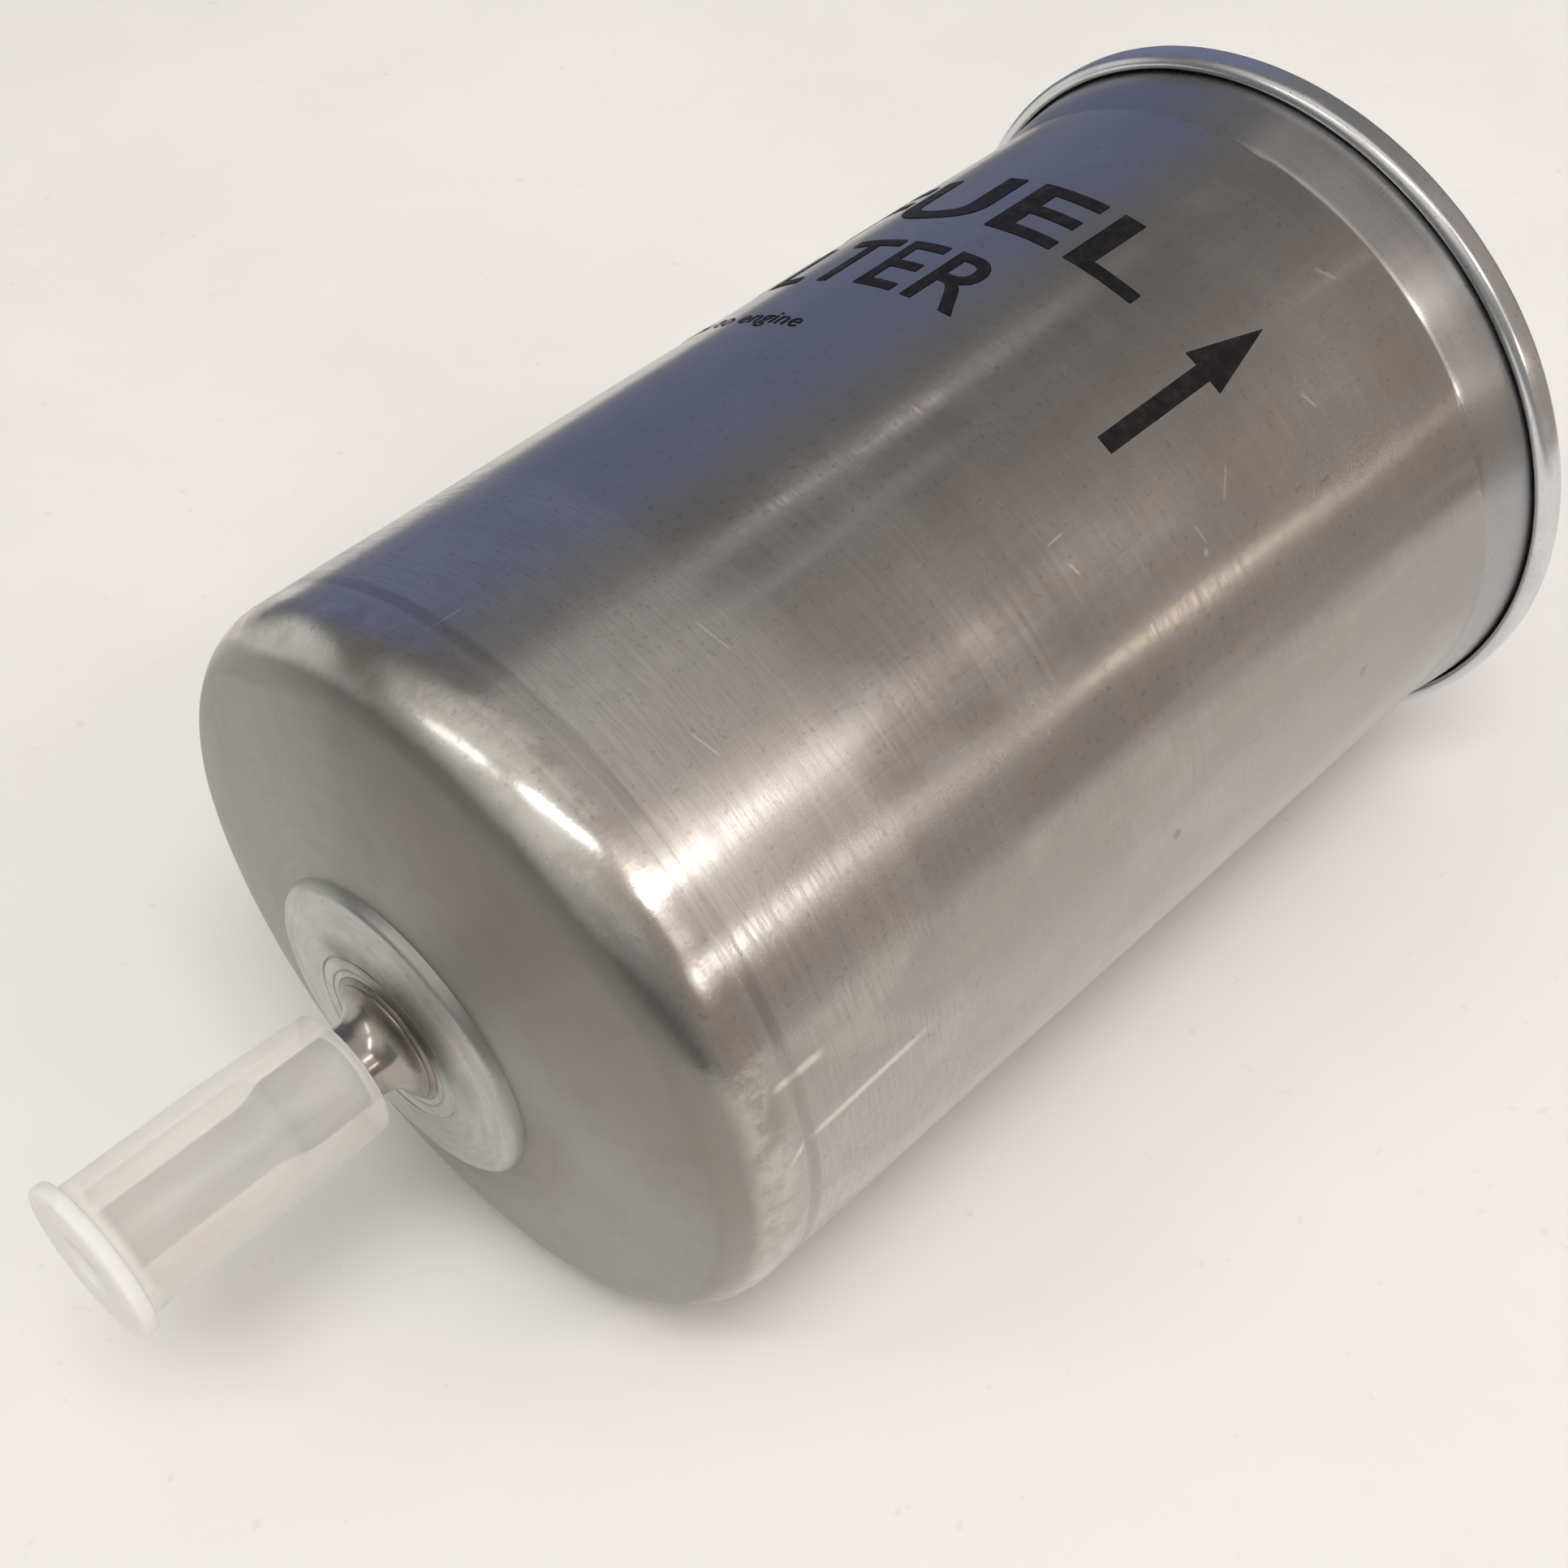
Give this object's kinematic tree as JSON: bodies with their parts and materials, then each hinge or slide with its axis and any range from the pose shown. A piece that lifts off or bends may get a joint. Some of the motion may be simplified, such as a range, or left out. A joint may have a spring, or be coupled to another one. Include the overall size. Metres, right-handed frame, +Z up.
{
  "type": "fuel filter",
  "caption": "In-line fuel filter: drawn steel can with a domed inlet end, rolled-seam lid, push-on spigots and translucent transport caps.",
  "frame": {"origin": "on the can's axis, half way along the plain cylindrical wall that a band clamp holds", "axes": "+X along the can's axis in the direction of fuel flow, from the domed inlet end to the seamed outlet end; +Z up as the can lies on its side; the arrow and print are on the upper side, turned 31 degrees towards -Y"},
  "size_m": [0.1995, 0.086, 0.086],
  "materials": {
    "can_steel": "satin drawn steel, fine circumferential brushing",
    "lid_steel": "bright rolled steel",
    "spigot_steel": "bright turned steel",
    "weld_steel": "heat-tinted weld bead",
    "seam_compound": "matt sealing compound",
    "cap_plastic": "milky translucent polyethylene",
    "filter_paper": "resin-bonded pleated paper",
    "disc_plastic": "moulded nylon",
    "potting": "cured adhesive",
    "tube_steel": "perforated strip steel",
    "seal_rubber": "fuel-resistant rubber",
    "spring_steel": "drawn spring wire"
  },
  "bodies": {
    "filter": {"housing_can": "can_steel", "end_lid": "lid_steel", "seam_gasket": "seam_compound", "inlet_spigot": "spigot_steel", "outlet_spigot": "spigot_steel", "inlet_weld_ring": "weld_steel", "outlet_weld_ring": "weld_steel", "filter_pleats": "filter_paper", "center_tube": "tube_steel", "inlet_end_disc": "disc_plastic", "outlet_end_disc": "disc_plastic", "inlet_potting": "potting", "outlet_potting": "potting", "outlet_neck_seal": "seal_rubber", "spring_seat": "tube_steel", "support_spring": "spring_steel"},
    "inlet_cap": {"inlet_dust_cap": "cap_plastic"},
    "outlet_cap": {"outlet_dust_cap": "cap_plastic"}
  },
  "joints": [
    {"name": "inlet_cap_pull", "type": "slide", "parent": "filter", "child": "inlet_cap", "axis": [-1, 0, 0], "range_m": [0, 0.07]},
    {"name": "outlet_cap_pull", "type": "slide", "parent": "filter", "child": "outlet_cap", "axis": [1, 0, 0], "range_m": [0, 0.07]}
  ]
}
